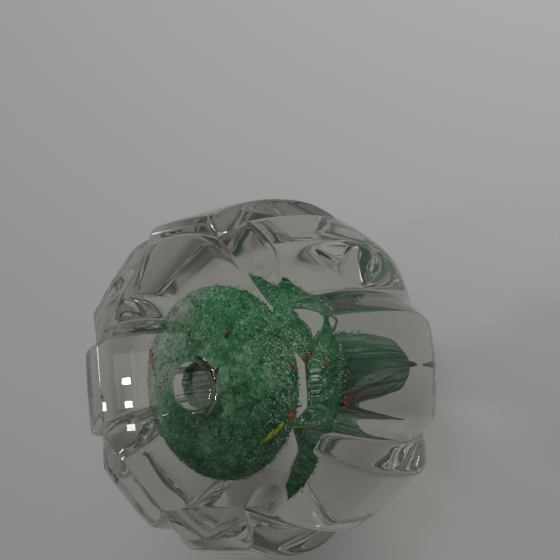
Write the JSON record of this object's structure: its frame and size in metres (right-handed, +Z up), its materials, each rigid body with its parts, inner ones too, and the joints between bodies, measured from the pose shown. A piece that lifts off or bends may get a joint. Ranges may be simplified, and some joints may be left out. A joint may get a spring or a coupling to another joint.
{
  "type": "flower frog",
  "caption": "Heavy clear glass flower frog: swept lobes, bevelled polished face with a blind stem socket, green crumb-coated pear core inside.",
  "frame": {"origin": "middle of the flat foot, on the axis of the stem socket", "axes": "+Z up along the stem socket, out of its mouth; -Y is the side with the widest lobe window"},
  "size_m": [0.0916, 0.0923, 0.064],
  "materials": {
    "clear_glass": "polished face and bevels, fire-polished lobes",
    "green_frit": "melted crumb layer",
    "core_glass": "clear inner gather",
    "dark_glass": "opaque dark glass",
    "brown_glass": "opaque brown glass",
    "red_glass": "opaque red glass",
    "yellow_glass": "opaque yellow-green glass",
    "rust_glass": "opaque rust glass",
    "pale_glass": "opaque pale grains",
    "dark_green_glass": "coarse dark green crumbs",
    "bead_glass": "opaque brick-red glass"
  },
  "bodies": {
    "root": {"casing": "clear_glass", "frit_skin": "green_frit", "core_gather": "core_glass", "dark_streak": "dark_glass", "brown_splinters": "brown_glass", "red_chips": "red_glass", "yellow_cane": "yellow_glass", "rust_ribbon": "rust_glass", "pale_grains": "pale_glass", "dark_green_crumbs": "dark_green_glass", "tip_bead": "bead_glass"}
  },
  "joints": []
}
